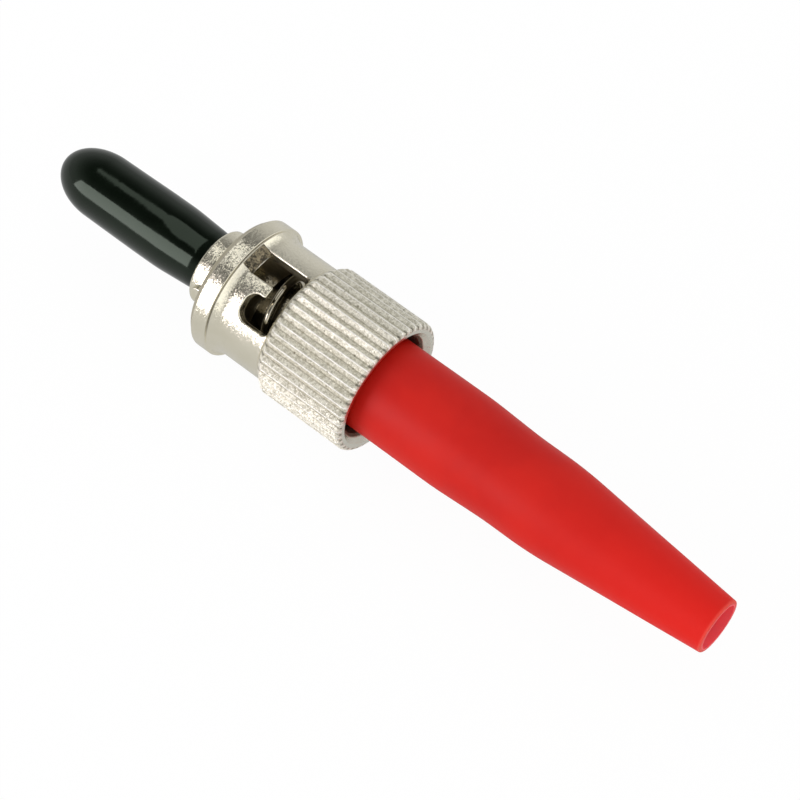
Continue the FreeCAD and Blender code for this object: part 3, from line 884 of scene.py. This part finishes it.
def spring_centre(turn):
    """Centre of the wire after so many turns: flat end turns with the helix between them."""
    climb = min(max(turn, 0.0), SPRING_ACTIVE_TURNS) * SPRING_PITCH
    angle = math.radians(SPRING_CLOCK) + 2 * math.pi * turn
    across, up = SPRING_RADIUS * math.cos(angle), SPRING_RADIUS * math.sin(angle)
    return Vector((SPRING_FIRST + climb, across, up))


def make_spring():
    """The wire as a tube, with both ends ground flat."""
    around = SPRING_SIDES
    first = -SPRING_END_TURNS
    last = SPRING_ACTIVE_TURNS + SPRING_END_TURNS
    count = round((last - first) * SPRING_STEPS_PER_TURN)
    corners, faces = [], []
    for step in range(count + 1):
        turn = first + (last - first) * step / count
        centre = spring_centre(turn)
        next_spot = spring_centre(turn + SPRING_LOOK_AHEAD)
        last_spot = spring_centre(turn - SPRING_LOOK_AHEAD)
        ahead = (next_spot - last_spot).normalized()
        out = Vector((0.0, centre.y, centre.z)).normalized()
        side = ahead.cross(out).normalized()
        for spoke in range(around):
            angle = 2 * math.pi * spoke / around
            arm = out * math.cos(angle) + side * math.sin(angle)
            spot = centre + arm * (SPRING_WIRE / 2)
            spot.x = min(max(spot.x, SPRING_FRONT_FACE), SPRING_REAR_FACE)
            corners.append(spot * MM)
    for step in range(count):
        one, two = step * around, (step + 1) * around
        for spoke in range(around):
            after = (spoke + 1) % around
            faces.append((one + spoke, one + after, two + after, two + spoke))
    faces.append(tuple(range(around)))
    faces.append(tuple(range(count * around, (count + 1) * around)))
    spring = new_piece("spring_coil", corners, faces)
    spring.data.materials.append(spring_wire())
    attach(spring, "plug_body")
    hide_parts("coupling_spring")
    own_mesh(spring)


def dress_nodes():
    """Give the pieces that keep their own shape their finishes."""
    finishes = {
        "bayonet_nut": nut_nickel(),
        "ferrule_holder": holder_nickel(),
        "ferrule": ferrule_zirconia(),
        "thrust_washer": plain_metal("washer_steel", WASHER_DEEP, WASHER_PALE, 0.25, 0.10),
        "retaining_clip": plain_metal("clip_steel", CLIP_DEEP, CLIP_PALE, 0.30, 0.10),
        "crimp_sleeve": plain_metal("sleeve_brass", SLEEVE_DEEP, SLEEVE_PALE, 0.24, 0.16),
    }
    for name, finish in finishes.items():
        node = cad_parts[name]
        node.data.materials.clear()
        node.data.materials.append(finish)


# Stage

def add_camera():
    azimuth, elevation = math.radians(CAMERA_AZIMUTH), math.radians(CAMERA_ELEVATION)
    back = Vector((
        math.cos(elevation) * math.sin(azimuth),
        -math.cos(elevation) * math.cos(azimuth),
        math.sin(elevation),
    ))
    lens = bpy.data.cameras.new("camera")
    lens.lens = CAMERA_LENS
    lens.sensor_width = CAMERA_SENSOR
    lens.clip_start = CAMERA_NEAR
    camera = bpy.data.objects.new("camera", lens)
    camera.location = CAMERA_AIM + back * CAMERA_DISTANCE
    camera.rotation_euler = back.to_track_quat("Z", "Y").to_euler()
    bpy.context.scene.collection.objects.link(camera)
    bpy.context.scene.camera = camera


def white_light(tree, kind, level):
    """White light of a level that may change with the ray."""
    return put(tree, kind, None, {"Color": rgba(WHITE), "Strength": level}).outputs[0]


def pick_level(tree, choice, other, chosen):
    """One of two levels, by a choice of 0 or 1."""
    inputs = {"Factor": choice, 2: other, 3: chosen}
    return put(tree, "ShaderNodeMix", {"data_type": "FLOAT"}, inputs).outputs[0]


def mirrored_ray(tree, path):
    return either(tree, path["Is Glossy Ray"], path["Is Transmission Ray"])


def add_sheet(name, corners, material):
    """A flat sheet of the stage."""
    mesh = bpy.data.meshes.new(name)
    mesh.from_pydata(corners, [], [tuple(range(len(corners)))])
    mesh.materials.append(material)
    sheet = bpy.data.objects.new(name, mesh)
    bpy.context.scene.collection.objects.link(sheet)
    return sheet


def add_floor():
    """Pale floor, white to the camera and in reflections, with the plug's shadow on it."""
    paper, tree, surface = bare_material("floor_paper")
    path = put(tree, "ShaderNodeLightPath").outputs
    mirrored = mirrored_ray(tree, path)
    white = white_light(tree, "ShaderNodeEmission", pick_level(tree, mirrored, 1.0, FLOOR_MIRRORED))
    matt = put(tree, "ShaderNodeBsdfDiffuse", None, {"Color": rgba(FLOOR_GREY)}).outputs[0]
    seen = either(tree, path["Is Camera Ray"], mirrored)
    share = both(tree, seen, FLOOR_WHITE_SHARE)
    mix = put(tree, "ShaderNodeMixShader", None, {0: share, 1: matt, 2: white}).outputs[0]
    tree.links.new(mix, surface)
    half, height = FLOOR_HALF, cad_box[0][2]
    corners = [(-half, -half), (half, -half), (half, half), (-half, half)]
    floor = add_sheet("floor", [(x, y, height) for x, y in corners], paper)


def add_world():
    """White behind the plug, an even fill, and in reflections a pale room that is dim overhead."""
    world = bpy.data.worlds.new("studio")
    bpy.context.scene.world = world
    world.use_nodes = True
    tree = world.node_tree
    tree.nodes.clear()
    path = put(tree, "ShaderNodeLightPath").outputs
    towards = split_vector(tree, put(tree, "ShaderNodeTexCoord").outputs["Generated"])
    walls = ramp(tree, towards["Z"], WALL_FOOT, WALL_TOP, HORIZON_LEVEL, CEILING_LEVEL)
    far_wall = ramp(tree, towards["X"], 0.0, FAR_WALL_FULL, 0.0, FAR_WALL_LEVEL)
    room = math_node(tree, "ADD", walls, far_wall)
    fill = pick_level(tree, mirrored_ray(tree, path), FILL_LEVEL, room)
    level = pick_level(tree, path["Is Camera Ray"], fill, 1.0)
    sheet = tree.nodes.new("ShaderNodeOutputWorld")
    tree.links.new(white_light(tree, "ShaderNodeBackground", level), sheet.inputs["Surface"])


def add_side_panel():
    """The wide soft light that draws the bright strip along the plug's near side."""
    lamp = bpy.data.lights.new("side_panel", "AREA")
    lamp.shape = "RECTANGLE"
    lamp.size = PANEL_WIDTH
    lamp.size_y = PANEL_HEIGHT
    lamp.energy = PANEL_RADIANCE * math.pi * PANEL_WIDTH * PANEL_HEIGHT
    lamp.color = PANEL_COLOUR
    panel = bpy.data.objects.new("side_panel", lamp)
    panel.location = PANEL_CENTRE
    panel.rotation_euler = (-PANEL_FACING).to_track_quat("Z", "Y").to_euler()
    panel.visible_camera = False
    bpy.context.scene.collection.objects.link(panel)


def add_top_box():
    """The four-cornered soft light overhead, one corner towards the plug's front."""
    cloth, tree, surface = bare_material("top_box_cloth")
    tree.links.new(white_light(tree, "ShaderNodeEmission", BOX_RADIANCE), surface)
    box = add_sheet("top_box", [(x, y, BOX_HEIGHT) for x, y in BOX_CORNERS], cloth)
    box.visible_camera = False


make_boot()
make_cap()
make_spring()
dress_nodes()
add_camera()
add_floor()
add_world()
add_side_panel()
add_top_box()

bpy.context.scene.view_settings.view_transform = "Standard"
